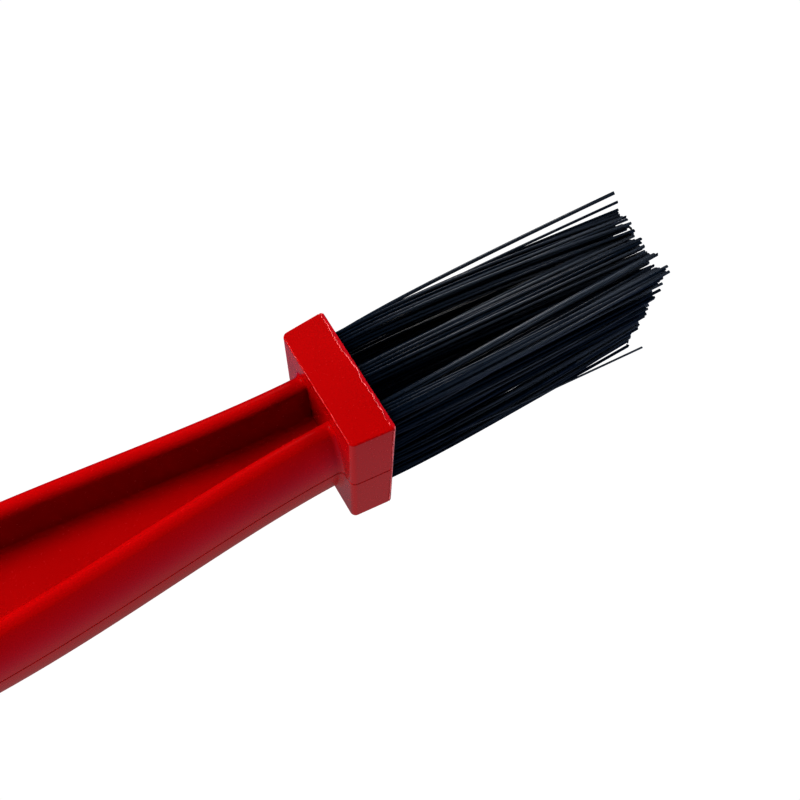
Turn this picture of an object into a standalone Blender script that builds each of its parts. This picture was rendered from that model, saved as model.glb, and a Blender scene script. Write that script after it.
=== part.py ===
"""Chain cleaning brush: one red plastic handle with a head of long bristles at its front end
and a yoke at its back end, whose three inner faces carry short bristles that close round a chain.

Every bristle tuft sits in a blind hole of the handle and is folded over a flat wire staple.
+X runs along the handle towards the long bristles, +Y across it, +Z up. The origin lies under
the middle of the brush, on the surface that the head block and the yoke rest on.
"""

import math
import random

import bmesh
import bpy
from mathutils import Matrix, Vector

OBJECT_NAME = "chain_cleaning_brush"

# Fits and cuts
FIT_GAP = 0.0003
CUT_OVERRUN = 0.0020
JOIN_DEPTH = 0.0020

# Head block that carries the long bristles
HEAD_WIDTH = 0.0286
HEAD_HEIGHT = 0.0400
HEAD_THICKNESS = 0.0095
HEAD_TAPER = 0.0004
MOULD_DRAFT = 0.0002
HEAD_CORNER_RADIUS = 0.0013
EDGE_ROUNDING = 0.0004

# Handle grip between head block and yoke, an I-section on its side
HANDLE_LENGTH = 0.1374
HANDLE_HEIGHT = 0.0286
NECK_HALF_WIDTH = 0.0057
BELLY_HALF_WIDTH = 0.0107
YOKE_NECK_HALF_WIDTH = 0.0080
BELLY_TO_HEAD = 0.0800
RIM_RADIUS = 0.00175
SIDE_BULGE = 0.0025
WALL_DRAFT = 0.0006
WEB_THICKNESS = 0.0034
WEB_FILLET = 0.0020
ROOT_FILLET = 0.0018

# Yoke that goes over the chain
YOKE_WIDTH = 0.0600
YOKE_LEG_WALL = 0.0090
YOKE_BRIDGE_WALL = 0.0100
YOKE_LEG_LENGTH = 0.0420
YOKE_CORNER_RADIUS = 0.0070
YOKE_INNER_RADIUS = 0.0030
YOKE_TOE_RADIUS = 0.0030
CHAIN_GAP = 0.0130

# Holes, tufts and staples
HOLE_DIAMETER = 0.0052
HOLE_DEPTH = 0.0062
HOLE_TO_EDGE = 0.0055
HOLE_TO_TOP = 0.0047
PLUG_SINK = 0.0008
BEND_THICKNESS = 0.0010
STAPLE_LENGTH = 0.0062
STAPLE_HEIGHT = 0.0016
STAPLE_THICKNESS = 0.0005
STAPLE_ANGLE = math.radians(45)
STRAND_RADIUS = 0.00036
STRAND_ROOT_SINK = 0.0010
PLUG_MARGIN = 0.00015
TUFT_SPACE = 0.0003

# Long bristles
LONG_BRISTLE_LENGTH = 0.0686
LONG_UNEVENNESS = 0.0025
LONG_COLUMNS = 3
LONG_ROWS = 5
LONG_RINGS = 2

# Chain bristles
CHAIN_TUFT_SPREAD = 0.0060
CHAIN_UNEVENNESS = 0.0006
CHAIN_RINGS = 1
CHAIN_ROW_TO_EDGE = 0.0090
CHAIN_TOE_MARGIN = 0.0055
BRIDGE_COLUMN_PITCH = 0.0180

# Facets
SIDE_STEPS = 5
RIM_STEPS = 4
FILLET_STEPS = 3
BELLY_STEPS = 10
TAIL_STEPS = 8
CORNER_STEPS = 5
HEAD_CORNER_SEGMENTS = 3
HEAD_ROUNDING_SEGMENTS = 2
YOKE_ROUNDING_SEGMENTS = 1
ROUND_PROFILE_SHARE = 0.5
HOLE_SIDES = 12
PLUG_SIDES = 12
STRAND_SIDES = 4
SMOOTH_ANGLE = math.radians(35)
RANDOM_SEED = 11

# Places along the brush
TOTAL_LENGTH = (LONG_BRISTLE_LENGTH + HEAD_THICKNESS + HANDLE_LENGTH
                + YOKE_BRIDGE_WALL + YOKE_LEG_LENGTH)
BRISTLE_TIP_X = TOTAL_LENGTH / 2
HEAD_FRONT_X = BRISTLE_TIP_X - LONG_BRISTLE_LENGTH
HEAD_BACK_X = HEAD_FRONT_X - HEAD_THICKNESS
BRIDGE_BACK_X = HEAD_BACK_X - HANDLE_LENGTH
BRIDGE_FACE_X = BRIDGE_BACK_X - YOKE_BRIDGE_WALL
TOE_X = BRIDGE_FACE_X - YOKE_LEG_LENGTH
MID_Z = HEAD_HEIGHT / 2
LEG_FACE_Y = YOKE_WIDTH / 2 - YOKE_LEG_WALL
CHAIN_BRISTLE_LENGTH = LEG_FACE_Y - CHAIN_GAP / 2

RED = (0.62, 0.004, 0.008, 1.0)
BLACK = (0.006, 0.007, 0.010, 1.0)
STEEL = (0.55, 0.54, 0.52, 1.0)


def clear_scene():
    """Removes whatever the scene holds, so that the script starts from nothing."""
    for item in list(bpy.data.objects):
        bpy.data.objects.remove(item, do_unlink=True)


def new_collection(name):
    group = bpy.data.collections.new(name)
    bpy.context.scene.collection.children.link(group)
    return group


def new_material(name, colour, roughness, metallic):
    """One Principled material."""
    material = bpy.data.materials.new(name)
    material.use_nodes = True
    shader = material.node_tree.nodes["Principled BSDF"]
    shader.inputs["Base Color"].default_value = colour
    shader.inputs["Roughness"].default_value = roughness
    shader.inputs["Metallic"].default_value = metallic
    return material


def new_object(name, mesh, group, matrix=None, parent=None):
    item = bpy.data.objects.new(name, mesh)
    group.objects.link(item)
    item.parent = parent
    if matrix is not None:
        item.matrix_local = matrix
    return item


def mesh_from(bm, name):
    """Turns a bmesh into a mesh with its faces pointing out."""
    bmesh.ops.recalc_face_normals(bm, faces=bm.faces)
    mesh = bpy.data.meshes.new(name)
    bm.to_mesh(mesh)
    bm.free()
    return mesh


def hide_guide(item):
    item.hide_render = True
    item.display_type = "WIRE"


def add_boolean(item, other, operation):
    modifier = item.modifiers.new(operation.lower(), "BOOLEAN")
    modifier.operation = operation
    modifier.solver = "EXACT"
    modifier.object = other
    return modifier


def baked_mesh(item, name):
    """The item's mesh with its modifiers in it; the item and its cutters go."""
    others = [modifier.object for modifier in item.modifiers if modifier.type == "BOOLEAN"]
    seen = item.evaluated_get(bpy.context.evaluated_depsgraph_get())
    mesh = bpy.data.meshes.new_from_object(seen)
    mesh.name = name
    for gone in [item] + others:
        bpy.data.objects.remove(gone, do_unlink=True)
    return mesh


def smooth(mesh):
    mesh.shade_smooth()
    mesh.set_sharp_from_angle(angle=SMOOTH_ANGLE)


def box(bm, low, high):
    """A box between two corners."""
    low = Vector(low)
    high = Vector(high)
    place = Matrix.Translation((low + high) / 2) @ Matrix.Diagonal((high - low).to_4d())
    return bmesh.ops.create_cube(bm, size=1.0, matrix=place)["verts"]


def edge_rise(edge):
    """How much higher one end of an edge lies than the other."""
    return abs(edge.verts[0].co.z - edge.verts[1].co.z)


def round_edges(bm, edges, radius, segments):
    bmesh.ops.bevel(bm, geom=edges, offset=radius, segments=segments, profile=ROUND_PROFILE_SHARE,
                    affect="EDGES")


def smoothstep(share):
    """A smooth rise from zero to one."""
    share = min(max(share, 0.0), 1.0)
    return share * share * (3.0 - 2.0 * share)


def rim_half_width(distance):
    """Half the distance between the two rims, at a distance behind the head block."""
    if distance <= BELLY_TO_HEAD:
        return NECK_HALF_WIDTH + (BELLY_HALF_WIDTH - NECK_HALF_WIDTH) * smoothstep(distance / BELLY_TO_HEAD)
    rest = (HANDLE_LENGTH - distance) / (HANDLE_LENGTH - BELLY_TO_HEAD)
    return YOKE_NECK_HALF_WIDTH + (BELLY_HALF_WIDTH - YOKE_NECK_HALF_WIDTH) * smoothstep(rest)


def root_flare(distance):
    """How far the fillet at either end of the grip stands out from its side."""
    depth = ROOT_FILLET - min(distance, HANDLE_LENGTH - distance)
    if depth <= 0.0:
        return 0.0
    depth = min(depth, ROOT_FILLET)
    return ROOT_FILLET - math.sqrt(ROOT_FILLET ** 2 - depth ** 2)


def quarter_section(distance):
    """The grip's outline in the quarter with y and z above zero, from its side to its web.

    The side is an arc about a point on the mid plane, and runs smoothly into the rim's smaller arc.
    """
    rim = rim_half_width(distance)
    flare = root_flare(distance)
    shoulder = HANDLE_HEIGHT / 2 - RIM_RADIUS
    back = (shoulder ** 2 - SIDE_BULGE ** 2) / (2 * SIDE_BULGE)
    side_radius = RIM_RADIUS + SIDE_BULGE + back
    turn = math.atan2(shoulder, back)
    points = []
    for step in range(SIDE_STEPS):
        angle = turn * step / SIDE_STEPS
        points.append((rim - back + side_radius * math.cos(angle) + flare, side_radius * math.sin(angle)))
    for step in range(RIM_STEPS + 1):
        angle = turn + (math.pi - turn) * step / RIM_STEPS
        widen = flare * (1.0 - step / RIM_STEPS)
        points.append((rim + RIM_RADIUS * math.cos(angle) + widen, shoulder + RIM_RADIUS * math.sin(angle)))
    floor = WEB_THICKNESS / 2
    foot = rim - RIM_RADIUS - WALL_DRAFT
    for step in range(FILLET_STEPS + 1):
        angle = math.pi / 2 * step / FILLET_STEPS
        y = foot - WEB_FILLET * (1.0 - math.cos(angle))
        z = floor + WEB_FILLET * (1.0 - math.sin(angle))
        points.append((y, z))
    return points


def section(distance):
    """The whole outline of the grip, once round."""
    quarter = quarter_section(distance)
    upper = quarter + [(-y, z) for y, z in reversed(quarter)]
    lower = [(-y, -z) for y, z in quarter[1:]] + [(y, -z) for y, z in reversed(quarter[1:])]
    return upper + lower


def grip_stations():
    """Distances behind the head block at which the grip has a section."""
    fillet = [ROOT_FILLET * (1.0 - math.cos(math.pi / 2 * step / FILLET_STEPS))
              for step in range(1, FILLET_STEPS + 1)]
    belly = [ROOT_FILLET + (BELLY_TO_HEAD - ROOT_FILLET) * step / BELLY_STEPS
             for step in range(1, BELLY_STEPS + 1)]
    tail_length = HANDLE_LENGTH - ROOT_FILLET - BELLY_TO_HEAD
    tail = [BELLY_TO_HEAD + tail_length * step / TAIL_STEPS for step in range(1, TAIL_STEPS + 1)]
    back = [HANDLE_LENGTH - distance for distance in reversed(fillet[:-1])]
    return [-JOIN_DEPTH, 0.0] + fillet + belly + tail + back + [HANDLE_LENGTH, HANDLE_LENGTH + JOIN_DEPTH]


def grip_mesh():
    """The grip, lofted through its sections and sunk a little into the head and the bridge."""
    bm = bmesh.new()
    rings = []
    for distance in grip_stations():
        x = HEAD_BACK_X - distance
        inside = min(max(distance, 0.0), HANDLE_LENGTH)
        rings.append([bm.verts.new((x, y, MID_Z + z)) for y, z in section(inside)])
    for near, far in zip(rings, rings[1:]):
        for index in range(len(near)):
            after = (index + 1) % len(near)
            bm.faces.new((near[index], near[after], far[after], far[index]))
    bm.faces.new(rings[0])
    bm.faces.new(rings[-1])
    return mesh_from(bm, "grip")


def head_mesh():
    """The head block, drafted from its mid plane and a little wider at its front."""
    bm = bmesh.new()
    box(bm, (HEAD_BACK_X, -HEAD_WIDTH / 2, 0.0), (HEAD_FRONT_X, HEAD_WIDTH / 2, HEAD_HEIGHT))
    whole = bm.verts[:] + bm.edges[:] + bm.faces[:]
    bmesh.ops.bisect_plane(bm, geom=whole, plane_co=(0.0, 0.0, MID_Z), plane_no=(0.0, 0.0, 1.0))
    for vert in bm.verts:
        side = math.copysign(1.0, vert.co.y)
        front = vert.co.x > (HEAD_FRONT_X + HEAD_BACK_X) / 2
        if abs(vert.co.z - MID_Z) > FIT_GAP:
            vert.co.y -= side * MOULD_DRAFT
        vert.co.y += side * (HEAD_TAPER if front else -HEAD_TAPER)
    upright = [edge for edge in bm.edges if edge_rise(edge) > FIT_GAP]
    round_edges(bm, upright, HEAD_CORNER_RADIUS, HEAD_CORNER_SEGMENTS)
    rims = [edge for edge in bm.edges
            if edge_rise(edge) < FIT_GAP and abs(edge.verts[0].co.z - MID_Z) > HEAD_HEIGHT / 2 - FIT_GAP]
    round_edges(bm, rims, EDGE_ROUNDING, HEAD_ROUNDING_SEGMENTS)
    return mesh_from(bm, "head_block")


def arc(centre_x, centre_y, radius, start, turn):
    """Points on an arc, angles in quarter turns."""
    points = []
    for step in range(CORNER_STEPS + 1):
        angle = math.pi / 2 * (start + turn * step / CORNER_STEPS)
        points.append((centre_x + radius * math.cos(angle), centre_y + radius * math.sin(angle)))
    return points


def yoke_outline():
    """The yoke seen from above: bridge across the handle, two legs that run back."""
    outer = min(YOKE_CORNER_RADIUS, YOKE_BRIDGE_WALL, YOKE_LEG_WALL)
    inner = min(YOKE_INNER_RADIUS, YOKE_LEG_LENGTH / 2)
    toe = min(YOKE_TOE_RADIUS, YOKE_LEG_WALL / 2 - FIT_GAP)
    side = YOKE_WIDTH / 2
    half = []
    half += arc(BRIDGE_FACE_X - inner, LEG_FACE_Y - inner, inner, 0, 1)
    half += arc(TOE_X + toe, LEG_FACE_Y + toe, toe, 3, -1)
    half += arc(TOE_X + toe, side - toe, toe, 2, -1)
    half += arc(BRIDGE_BACK_X - outer, side - outer, outer, 1, -1)
    return half + [(x, -y) for x, y in reversed(half)]


def yoke_mesh():
    """The yoke, its outline raised to the height of the head block."""
    bm = bmesh.new()
    base = bm.faces.new([bm.verts.new((x, y, 0.0)) for x, y in yoke_outline()])
    raised = bmesh.ops.extrude_face_region(bm, geom=[base])["geom"]
    top = [vert for vert in raised if isinstance(vert, bmesh.types.BMVert)]
    bmesh.ops.translate(bm, verts=top, vec=(0.0, 0.0, HEAD_HEIGHT))
    rims = [edge for edge in bm.edges if edge_rise(edge) < FIT_GAP]
    round_edges(bm, rims, EDGE_ROUNDING, YOKE_ROUNDING_SEGMENTS)
    return mesh_from(bm, "yoke")


def bristle_faces():
    """The four faces that carry bristles: name, place of the middle, and the axes on it."""
    up = Vector((0.0, 0.0, 1.0))
    leg_x = (BRIDGE_FACE_X + TOE_X) / 2
    faces = {
        "long_face": ((HEAD_FRONT_X, 0.0), (1.0, 0.0, 0.0)),
        "bridge_face": ((BRIDGE_FACE_X, 0.0), (-1.0, 0.0, 0.0)),
        "left_leg_face": ((leg_x, LEG_FACE_Y), (0.0, -1.0, 0.0)),
        "right_leg_face": ((leg_x, -LEG_FACE_Y), (0.0, 1.0, 0.0)),
    }
    places = {}
    for name, ((x, y), normal) in faces.items():
        normal = Vector(normal)
        across = up.cross(normal)
        turn = Matrix((across, up, normal)).transposed().to_4x4()
        places[name] = Matrix.Translation((x, y, MID_Z)) @ turn
    return places


def even_places(count, span):
    """Places spread evenly over a span about zero."""
    return [span * (index / (count - 1) - 0.5) for index in range(count)]


def long_places():
    """Holes of the head block, across and up from the middle of its front."""
    columns = even_places(LONG_COLUMNS, HEAD_WIDTH - 2 * HOLE_TO_EDGE)
    rows = even_places(LONG_ROWS, HEAD_HEIGHT - 2 * HOLE_TO_TOP)
    return [(across, up) for up in rows for across in columns]


def chain_row_height():
    return HEAD_HEIGHT / 2 - CHAIN_ROW_TO_EDGE


def leg_places():
    """Holes of a leg: two, one and two, clear of the bridge's bristles; along X and up."""
    first = CHAIN_BRISTLE_LENGTH + CHAIN_TUFT_SPREAD / 2 + STRAND_RADIUS + TUFT_SPACE
    last = max(YOKE_LEG_LENGTH - CHAIN_TOE_MARGIN, first)
    height = chain_row_height()
    middle = YOKE_LEG_LENGTH / 2
    places = [(middle - first, -height), (middle - first, height), (middle - (first + last) / 2, 0.0)]
    return places + [(middle - last, -height), (middle - last, height)]


def bridge_places():
    """Holes of the bridge, two by two."""
    half = BRIDGE_COLUMN_PITCH / 2
    height = chain_row_height()
    return [(-half, -height), (half, -height), (-half, height), (half, height)]


def tuft_places():
    """Every hole: the face that carries it, and its place on that face."""
    places = {"long_face": long_places(), "bridge_face": bridge_places()}
    places["left_leg_face"] = leg_places()
    places["right_leg_face"] = [(-along, up) for along, up in leg_places()]
    return places


def hole_place(along, up):
    """The turned frame of a hole on its face; its own +Z runs out of the hole."""
    return Matrix.Translation((along, up, 0.0)) @ Matrix.Rotation(STAPLE_ANGLE, 4, "Z")


def staple_floor():
    """Height of the staple's lower edge in its hole, measured from the mouth."""
    return -HOLE_DEPTH + FIT_GAP + BEND_THICKNESS + FIT_GAP


def staple_slot(bm, length):
    """The room round a staple, as long as it is asked for."""
    half = STAPLE_THICKNESS / 2 + FIT_GAP
    low = staple_floor() - FIT_GAP
    high = staple_floor() + STAPLE_HEIGHT + FIT_GAP
    return box(bm, (-length / 2, -half, low), (length / 2, half, high))


def hole_mesh(guides):
    """One blind hole with the two pockets that the staple's ends bite into."""
    bm = bmesh.new()
    depth = HOLE_DEPTH + CUT_OVERRUN
    bmesh.ops.create_cone(bm, cap_ends=True, segments=HOLE_SIDES, radius1=HOLE_DIAMETER / 2,
                          radius2=HOLE_DIAMETER / 2, depth=depth,
                          matrix=Matrix.Translation((0.0, 0.0, depth / 2 - HOLE_DEPTH)))
    hole = new_object("hole", mesh_from(bm, "hole"), guides)
    bm = bmesh.new()
    staple_slot(bm, STAPLE_LENGTH + 2 * FIT_GAP)
    slot = new_object("slot", mesh_from(bm, "slot"), guides)
    add_boolean(hole, slot, "UNION")
    return baked_mesh(hole, "hole_with_pockets")


def hexagon_places(rings):
    """A hexagonal lattice of spacing one: the middle, then ring after ring."""
    places = [(0.0, 0.0)]
    for ring in range(1, rings + 1):
        for side in range(6):
            corner = math.pi / 3 * side
            along = corner + math.pi * 2 / 3
            for step in range(ring):
                x = ring * math.cos(corner) + step * math.cos(along)
                y = ring * math.sin(corner) + step * math.sin(along)
                places.append((x, y))
    return places


def strand(bm, root, tip):
    """One straight filament from root to tip."""
    run = tip - root
    turn = run.to_track_quat("Z", "Y").to_matrix().to_4x4()
    place = Matrix.Translation((root + tip) / 2) @ turn
    bmesh.ops.create_cone(bm, cap_ends=True, segments=STRAND_SIDES, radius1=STRAND_RADIUS,
                          radius2=STRAND_RADIUS, depth=run.length, matrix=place)


def tuft_mesh(name, guides, rings, spread, length, unevenness):
    """A folded tuft: its plug fills the hole and its filaments open out to the spread."""
    draw = random.Random(RANDOM_SEED)
    plug_radius = HOLE_DIAMETER / 2 - FIT_GAP
    root_spacing = (plug_radius - PLUG_MARGIN - STRAND_RADIUS) / rings
    tip_spacing = (spread / 2 - STRAND_RADIUS) / rings
    bm = bmesh.new()
    for x, y in hexagon_places(rings):
        short = unevenness * draw.random() if (x, y) != (0.0, 0.0) else 0.0
        root = Vector((x * root_spacing, y * root_spacing, -PLUG_SINK - STRAND_ROOT_SINK))
        tip = Vector((x * tip_spacing, y * tip_spacing, length - short))
        strand(bm, root, tip)
    strands = new_object("strands", mesh_from(bm, "strands"), guides)
    bm = bmesh.new()
    floor = -HOLE_DEPTH + FIT_GAP
    depth = -PLUG_SINK - floor
    bmesh.ops.create_cone(bm, cap_ends=True, segments=PLUG_SIDES, radius1=plug_radius,
                          radius2=plug_radius, depth=depth,
                          matrix=Matrix.Translation((0.0, 0.0, floor + depth / 2)))
    plug = new_object("plug", mesh_from(bm, "plug"), guides)
    bm = bmesh.new()
    staple_slot(bm, HOLE_DIAMETER + CUT_OVERRUN)
    slot = new_object("slot", mesh_from(bm, "slot"), guides)
    add_boolean(plug, strands, "UNION")
    add_boolean(plug, slot, "DIFFERENCE")
    return baked_mesh(plug, name)


def staple_mesh():
    """A flat wire staple that lies across its hole."""
    bm = bmesh.new()
    low = staple_floor()
    box(bm, (-STAPLE_LENGTH / 2, -STAPLE_THICKNESS / 2, low),
        (STAPLE_LENGTH / 2, STAPLE_THICKNESS / 2, low + STAPLE_HEIGHT))
    return mesh_from(bm, "staple")


def hole_cutter(guides):
    """All holes of all faces as one cutter."""
    one = hole_mesh(guides)
    bm = bmesh.new()
    faces = bristle_faces()
    for face, places in tuft_places().items():
        for along, up in places:
            before = len(bm.verts)
            bm.from_mesh(one)
            bm.verts.ensure_lookup_table()
            bmesh.ops.transform(bm, matrix=faces[face] @ hole_place(along, up), verts=bm.verts[before:])
    bpy.data.meshes.remove(one)
    return new_object("holes", mesh_from(bm, "holes"), guides)


def make_handle(parts, guides, material):
    """The one moulding: grip, head block and yoke, with the holes for the tufts."""
    handle = new_object("handle", grip_mesh(), parts)
    head = new_object("head_block", head_mesh(), guides)
    yoke = new_object("yoke_block", yoke_mesh(), guides)
    holes = hole_cutter(guides)
    for other, operation in ((head, "UNION"), (yoke, "UNION"), (holes, "DIFFERENCE")):
        hide_guide(other)
        add_boolean(handle, other, operation)
    smooth(handle.data)
    handle.data.materials.append(material)


def make_tufts(parts, guides, bristle, steel):
    """A tuft and a staple in every hole."""
    long_pitch = min((HEAD_WIDTH - 2 * HOLE_TO_EDGE) / (LONG_COLUMNS - 1),
                     (HEAD_HEIGHT - 2 * HOLE_TO_TOP) / (LONG_ROWS - 1))
    long_mesh = tuft_mesh("long_tuft", guides, LONG_RINGS, long_pitch - TUFT_SPACE,
                          LONG_BRISTLE_LENGTH, LONG_UNEVENNESS)
    chain_mesh = tuft_mesh("chain_tuft", guides, CHAIN_RINGS, CHAIN_TUFT_SPREAD,
                           CHAIN_BRISTLE_LENGTH, CHAIN_UNEVENNESS)
    staple = staple_mesh()
    for mesh in (long_mesh, chain_mesh):
        mesh.materials.append(bristle)
    staple.materials.append(steel)
    faces = bristle_faces()
    count = {"long": 0, "chain": 0}
    for face, places in tuft_places().items():
        carrier = new_object(face, None, parts, faces[face])
        kind = "long" if face == "long_face" else "chain"
        for along, up in places:
            count[kind] += 1
            number = f"{count[kind]:02d}"
            place = hole_place(along, up)
            mesh = long_mesh if kind == "long" else chain_mesh
            new_object(f"{kind}_tuft_{number}", mesh, parts, place, carrier)
            new_object(f"{kind}_staple_{number}", staple, parts, place, carrier)


def main():
    clear_scene()
    parts = new_collection(OBJECT_NAME)
    guides = new_collection("cutters")
    red = new_material("red_plastic", RED, 0.32, 0.0)
    bristle = new_material("black_nylon", BLACK, 0.38, 0.0)
    steel = new_material("staple_steel", STEEL, 0.35, 1.0)
    make_handle(parts, guides, red)
    make_tufts(parts, guides, bristle, steel)


main()
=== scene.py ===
"""Looks of the chain cleaning brush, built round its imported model.

The handle is modelled again in fine detail, and each tuft is a bundle of round nylon filaments.
The wire staples keep their own nodes. Everything is in metres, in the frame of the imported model.
"""

import math
import random
from collections import namedtuple

import bmesh
import bpy
from mathutils import Matrix, Vector


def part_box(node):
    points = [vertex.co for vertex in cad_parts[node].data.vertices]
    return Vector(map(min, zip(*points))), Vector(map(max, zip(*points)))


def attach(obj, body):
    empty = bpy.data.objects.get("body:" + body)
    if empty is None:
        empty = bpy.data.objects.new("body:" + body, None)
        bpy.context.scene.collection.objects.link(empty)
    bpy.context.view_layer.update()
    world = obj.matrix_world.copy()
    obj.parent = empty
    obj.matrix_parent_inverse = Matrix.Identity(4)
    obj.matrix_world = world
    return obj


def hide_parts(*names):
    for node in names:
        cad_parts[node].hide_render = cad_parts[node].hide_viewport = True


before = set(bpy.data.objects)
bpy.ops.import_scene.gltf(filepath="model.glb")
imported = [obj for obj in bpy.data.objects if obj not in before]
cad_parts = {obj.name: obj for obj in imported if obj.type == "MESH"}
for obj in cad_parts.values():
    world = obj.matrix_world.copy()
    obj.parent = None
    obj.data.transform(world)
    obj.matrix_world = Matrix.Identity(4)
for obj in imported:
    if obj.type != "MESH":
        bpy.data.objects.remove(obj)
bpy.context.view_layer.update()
HANDLE_LOW, HANDLE_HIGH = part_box("handle")

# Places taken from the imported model
HEAD_FRONT_X = HANDLE_HIGH.x
HEAD_HEIGHT = HANDLE_HIGH.z
MID_Z = HEAD_HEIGHT / 2
TOE_X = HANDLE_LOW.x
YOKE_HALF_WIDTH = HANDLE_HIGH.y

# Head block
HEAD_HALF_WIDTH = 0.0143
HEAD_THICKNESS = 0.0095
HEAD_TAPER = 0.0004
MOULD_DRAFT = 0.0002
HEAD_BACK_RADIUS = 0.0013
HEAD_FRONT_RADIUS = 0.0006
SPLIT_RADIUS = 0.00040
EDGE_ROUNDING = 0.00035
PLATE_THICKNESS = 0.0007
PLATE_STEP = 0.00004
PLATE_JOIN = 0.0007
LEAST_MITRE_COSINE = 0.5

# Mould flash; a ridge's height, width, sway and pitch, and the share of it that isn't worn away
FLASH_HEIGHT = 0.00012
Ridge = namedtuple("Ridge", "height width sway pitch whole_share")
SEAM_RIDGE = Ridge(FLASH_HEIGHT, 0.00036, 0.00055, 0.00030, 0.80)
BACK_RIDGE = Ridge(0.00003, 0.00016, 0.00012, 0.00045, 0.40)
SIDE_RIDGE = Ridge(0.00007, 0.00018, 0.00018, 0.00045, 0.55)
WORN_HEIGHT_SHARE = 0.12
LEAST_HEIGHT_SHARE = 0.35
RIDGE_END_SHARE = 1 / 6
WANDER_KEPT_SHARE = 0.7
CREST_SWAY_SHARE = 0.2
RIDGE_GAP_SHARE = 0.15
LEAST_RIDGE_STEPS = 4
SIDE_RIDGE_MARGIN = 2 * EDGE_ROUNDING
SIDE_RIDGE_TAPER_SHARE = 0.8
SIDE_RIDGE_DRAFT_SHARE = 0.9

# Grip
HANDLE_LENGTH = 0.1374
HANDLE_HEIGHT = 0.0286
NECK_HALF_WIDTH = 0.0057
BELLY_HALF_WIDTH = 0.0107
YOKE_NECK_HALF_WIDTH = 0.0080
BELLY_TO_HEAD = 0.0800
RIM_RADIUS = 0.00175
SIDE_BULGE = 0.0025
WALL_DRAFT = 0.0006
WEB_THICKNESS = 0.0034
WEB_FILLET = 0.0009
ROOT_FILLET = 0.0012
JOIN_DEPTH = 0.0015

# Parting groove, shallower than SPLIT_RADIUS, or the block's outline would fold over at its corners
GROOVE_HALF_WIDTH = 0.00026
GROOVE_DEPTH = 0.00032

# Yoke
YOKE_LEG_WALL = 0.0090
YOKE_BRIDGE_WALL = 0.0100
YOKE_CORNER_RADIUS = 0.0070
YOKE_INNER_RADIUS = 0.0030
YOKE_TOE_RADIUS = 0.0030

# Holes, plugs and staples
HOLE_RADIUS = 0.0026
HOLE_DEPTH = 0.0062
HOLE_CHAMFER = 0.00012
CUT_OVERRUN = 0.0020
STAPLE_SINK = 0.0038
STAPLE_LENGTH = 0.0062
STAPLE_HEIGHT = 0.0016
STAPLE_THICKNESS = 0.0005
STAPLE_ANGLE = math.radians(45)
FIT_GAP = 0.0003
PLUG_TOP = 0.0012

# Filaments
FILAMENT_RADIUS = 0.00032
FILAMENT_SPREAD_SHARE = 0.10
FILAMENT_PITCH = 0.00071
FILAMENT_RINGS = 3
ROOT_JITTER = 0.00002
CUT_SLANT = 0.00026
# Painted shade: near its root a filament keeps only this share of its tone, where the block shades it; the
# shade fades out over the next share of its length
ROOT_SHADE_SHARE = 0.15
ROOT_SHADE_FADE_SHARE = 0.6
HOOK_SHARE = 0.07
HOOK_REACH = 0.00045
LONG_TIP_RADIUS = 0.0030
LONG_TIP_SCATTER = 0.00115
LONG_BOW = 0.00026
LONG_SHORTFALL = 0.0006
LONG_UNEVENNESS = 0.0011
LONG_PROUD_SHARE = 0.12
LONG_PROUD_DEPTH = 0.0004
LONG_LEAN = 0.0019
LONG_GATHER_SHARE = 0.25
LONG_RISE_GATHER_SHARE = 0.052
LONG_END_HALF_WIDTH = 0.0094
LONG_END_HALF_HEIGHT = 0.0178
LONG_END_RISE = 0.0005
LONG_BULGE = 0.0009
BUNDLE_BOW = 0.0002
BULGE_RISE_SHARE = 0.20
BULGE_POWER = 1.6
BUNDLE_HALF_WIDTH = 0.0102
BUNDLE_HALF_HEIGHT = 0.0192
END_SOFTNESS = 0.0008
TIP_SOFTNESS = 0.0030
TUFT_SCATTER = 0.0003
CHAIN_TIP_RADIUS = 0.0029
CHAIN_TIP_SCATTER = 0.00030
CHAIN_BOW = 0.00012
CHAIN_SHORTFALL = 0.0001
CHAIN_UNEVENNESS = 0.0006
CHAIN_UNEVENNESS_POWER = 1.6
TIP_CLEARANCE = 0.00005

# Single filaments that stand off the long bundle: tuft, root and tip (y, z), length and radius
STRAYS = (
    ("long_tuft_15", (0.0106, 0.0355), (0.0099, 0.0392), 0.0685, 0.00040),
    ("long_tuft_15", (0.0092, 0.0364), (0.0079, 0.0386), 0.0680, 0.00030),
    ("long_tuft_01", (-0.0084, 0.0088), (-0.0136, 0.0080), 0.0684, 0.00024),
)

# Facets
SIDE_STEPS = 12
RIM_STEPS = 12
WALL_STEPS = 5
FILLET_STEPS = 7
WEB_STEPS = 5
BELLY_STEPS = 72
TAIL_STEPS = 52
CORNER_STEPS = 10
ROUNDING_STEPS = 5
HOLE_SIDES = 32
FILAMENT_SIDES = 8
LONG_SEGMENTS = 14
STATION_POWER = 1.6
CHAIN_SEGMENTS = 5
SMOOTH_ANGLE = math.radians(32)

# Camera, solved from the edges and corners of the block and the grip
CAMERA_LENS = 42.75
CAMERA_SENSOR = 36.0
CAMERA_PLACE = Vector((0.024434, -0.073636, 0.201268))
CAMERA_TARGET = Vector((0.073932, -0.001941, 0.020000))
CAMERA_ROLL = math.radians(4.36)
CLIP_START = 0.01

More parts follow.
